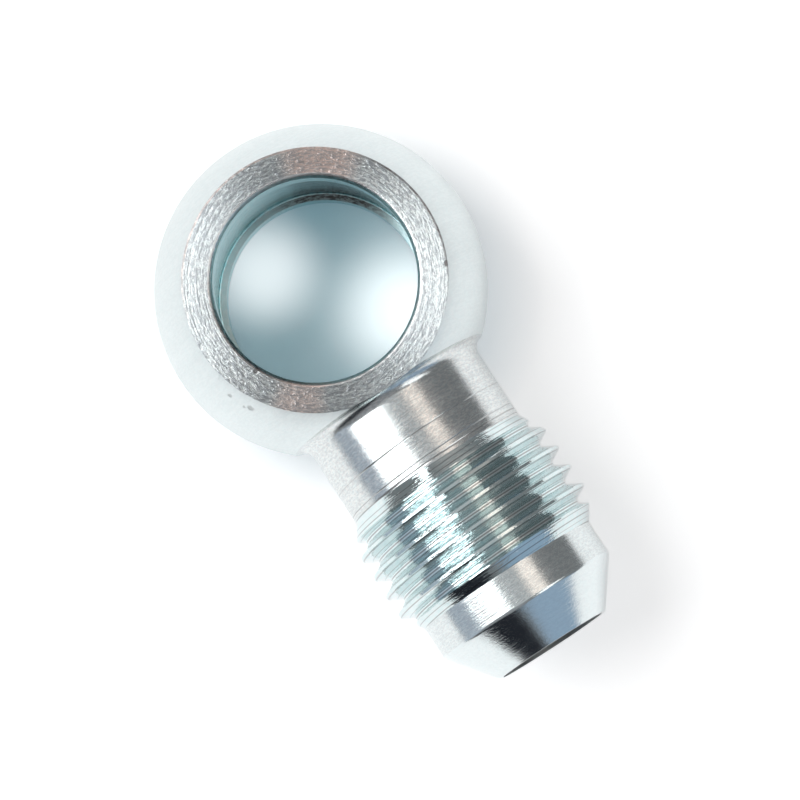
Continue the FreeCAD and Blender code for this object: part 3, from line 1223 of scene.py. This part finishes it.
def build_camera(stage):
    """Camera over the fitting, with the stem pointing down to the right in the picture."""
    place = Vector(stage.camera_place)
    forward = (Vector(stage.camera_aim) - place).normalized()
    slope = stage.stem_slope
    up = Vector((-math.sin(slope), math.cos(slope), 0))
    right = forward.cross(up).normalized()
    up = right.cross(forward)
    camera = bpy.data.cameras.new("camera")
    camera.lens = stage.lens
    camera.clip_start = 0.01
    camera.clip_end = 10
    made = bpy.data.objects.new("camera", camera)
    turn = Matrix((right, up, -forward)).transposed()
    made.rotation_mode = "QUATERNION"
    made.rotation_quaternion = turn.to_quaternion()
    made.location = place
    bpy.context.scene.collection.objects.link(made)
    bpy.context.scene.camera = made


def picture_direction(slope, across, up):
    """Direction in the model's frame, from an angle round the picture and a height above the floor.

    The angle is 0 to the right of the picture and a quarter turn at its top.
    """
    right = Vector((math.cos(slope), math.sin(slope), 0))
    top = Vector((-math.sin(slope), math.cos(slope), 0))
    level = right * math.cos(across) + top * math.sin(across)
    return level * math.cos(up) + Vector((0, 0, math.sin(up)))


# Parts of the room: colour, angle round the picture and height above the floor of its middle, and
# how far from its middle it is full and ends. Angles are in degrees.
ROOM_PARTS = (
    ("upper_side_colour", 90.0, 50.0, 18.0, 36.0),
    ("lower_side_colour", -95.0, 50.0, 18.0, 36.0),
    ("overhead_colour", 0.0, 90.0, 8.0, 24.0),
    ("warm_lamp_colour", 33.0, 67.0, 8.0, 13.0),
    ("slate_side_colour", -35.0, 8.0, 20.0, 31.0),
    ("dark_side_colour", -88.0, 6.0, 22.0, 30.0),
    ("blue_side_colour", -147.0, 13.0, 10.0, 26.0),
)


def build_world(stage):
    """Dim studio round the lamps, which the camera sees as white."""
    world = bpy.data.worlds.new("studio")
    world.use_nodes = True
    t = Tree(world.node_tree)
    background = t.nodes["Background"]
    direction = t.add("ShaderNodeTexCoord", output="Generated")
    room = (*stage.room_colour, 1)
    for colour_name, *angles in ROOM_PARTS:
        across, up, inner, outer = (math.radians(degrees) for degrees in angles)
        middle = picture_direction(stage.stem_slope, across, up)
        closeness = t.measure("DOT_PRODUCT", direction, middle)
        share = t.ramp(closeness, math.cos(outer), math.cos(inner), kind="SMOOTHSTEP")
        room = t.mix_color(share, room, (*getattr(stage, colour_name), 1))
    camera_ray = t.add("ShaderNodeLightPath", output="Is Camera Ray")
    t.fill(background.inputs["Color"], t.mix_color(camera_ray, room, (1, 1, 1, 1)))
    bpy.context.scene.world = world


class FITTING_OT_body(bpy.types.Operator):
    """Build the fitting's body in place of the packed model's node"""

    bl_idname = "fitting.body"
    bl_label = "Fitting body"

    def execute(self, context):
        materials = finishes(sizes(context, "colours"), sizes(context, "stage").stem_slope)
        body = fitting_body(
            sizes(context, "eye"), sizes(context, "stem"), sizes(context, "thread"),
            sizes(context, "detail"), materials,
        )
        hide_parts(NODE)
        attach(body, BODY)
        return {"FINISHED"}


class FITTING_OT_stage(bpy.types.Operator):
    """Lay the paper floor, hang the lamps and set up the camera"""

    bl_idname = "fitting.stage"
    bl_label = "Stage"

    def execute(self, context):
        stage = sizes(context, "stage")
        contact, along = floor_plane(
            sizes(context, "eye"), sizes(context, "thread"), sizes(context, "stem")
        )
        build_floor(stage, contact, along)
        build_world(stage)
        for name in ("key", "fill"):
            across, away, rise, width, height, power = (
                getattr(stage, f"{name}_{key}")
                for key in ("across", "away", "rise", "width", "height", "power")
            )
            place = picture_direction(stage.stem_slope, across, 0) * away + Vector((0, 0, rise))
            soft_lamp(name + "_softbox", place, (0, 0, rise), width, height, power)
        build_camera(stage)
        context.scene.view_settings.view_transform = "Standard"
        return {"FINISHED"}


class FITTING_PT_panel(bpy.types.Panel):
    """Sizes, colours and steps of the fitting"""

    bl_idname = "FITTING_PT_panel"
    bl_label = "Banjo fitting"
    bl_space_type = "VIEW_3D"
    bl_region_type = "UI"
    bl_category = "Fitting"

    def draw(self, context):
        for operator in OPERATORS:
            self.layout.operator(operator.bl_idname)
        for name, group in GROUPS.items():
            box = self.layout.box()
            box.label(text=group.__doc__)
            for key in group.__annotations__:
                box.prop(sizes(context, name), key)


GROUPS = {
    "eye": EyeSizes,
    "stem": StemSizes,
    "thread": ThreadSizes,
    "detail": MeshDetail,
    "colours": FinishColours,
    "stage": StageSizes,
}
OPERATORS = (FITTING_OT_body, FITTING_OT_stage)


def register():
    """Registers the classes and gives the scene its property groups."""
    for cls in (*GROUPS.values(), *OPERATORS, FITTING_PT_panel):
        bpy.utils.register_class(cls)
    for name, group in GROUPS.items():
        setattr(bpy.types.Scene, "fitting_" + name, bpy.props.PointerProperty(type=group))


def unregister():
    """Takes back all that register did."""
    for name in GROUPS:
        delattr(bpy.types.Scene, "fitting_" + name)
    for cls in (FITTING_PT_panel, *OPERATORS, *GROUPS.values()):
        bpy.utils.unregister_class(cls)


def main():
    """Builds the fitting and its stage."""
    register()
    bpy.ops.fitting.body()
    bpy.ops.fitting.stage()


if __name__ == "__main__":
    main()
